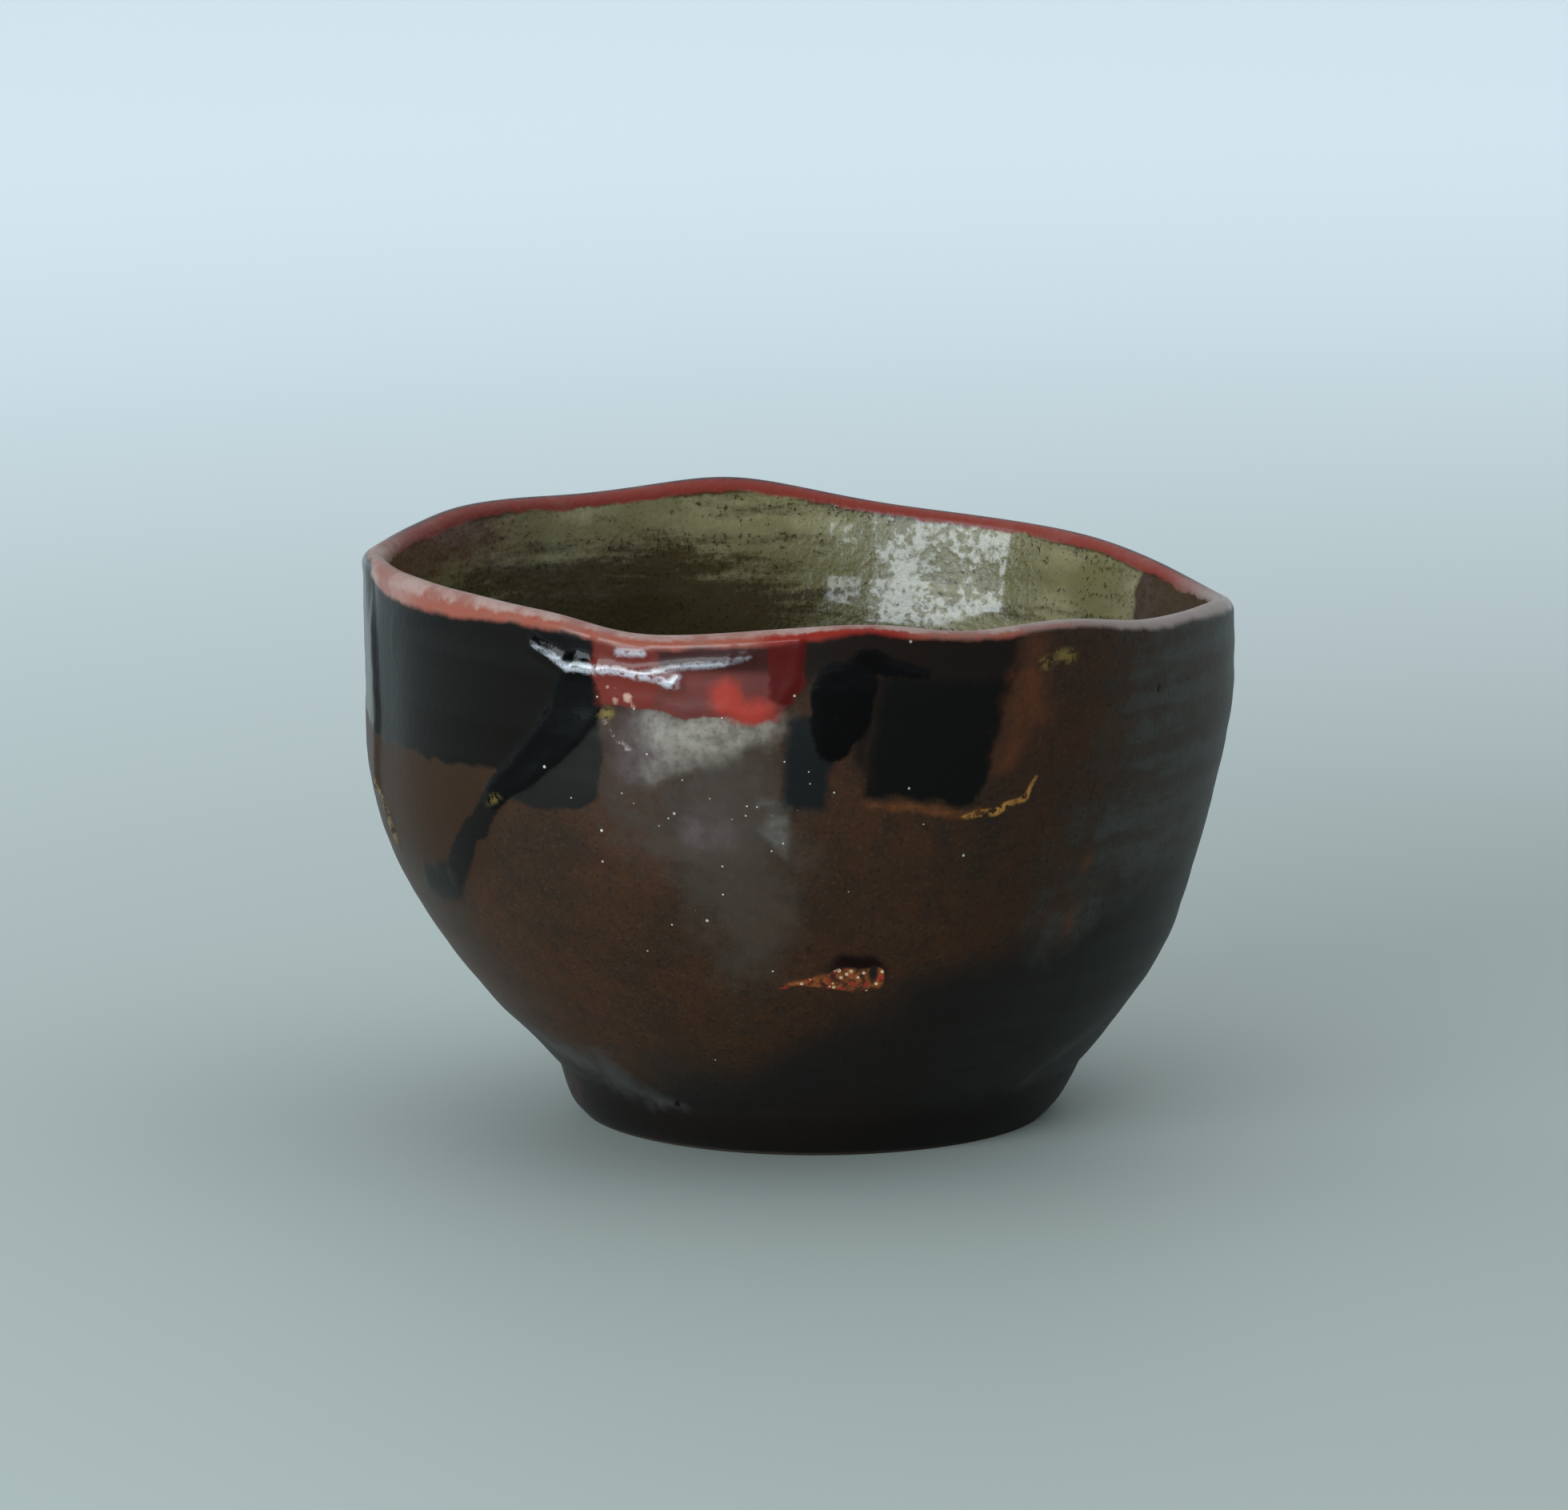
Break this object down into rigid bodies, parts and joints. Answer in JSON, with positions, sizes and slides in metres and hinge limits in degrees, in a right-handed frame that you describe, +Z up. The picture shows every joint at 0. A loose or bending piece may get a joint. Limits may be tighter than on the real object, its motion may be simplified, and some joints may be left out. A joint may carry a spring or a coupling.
{
  "type": "glazed stoneware tea bowl",
  "caption": "Hand-shaped tea bowl of dark glazed stoneware with a wavy rounded lip, a swelling wall and a turned foot ring.",
  "frame": {"origin": "middle of the bowl's bounding box, on the surface that the foot ring stands on", "axes": "+Z up out of the bowl's mouth, -Y towards the side that the picture shows, +X to its right"},
  "size_m": [0.1224, 0.1234, 0.0801],
  "materials": {
    "glaze": "glossy dark brown, black, red and celadon glazes run over each other"
  },
  "bodies": {
    "root": {"bowl": "glaze"}
  },
  "joints": []
}
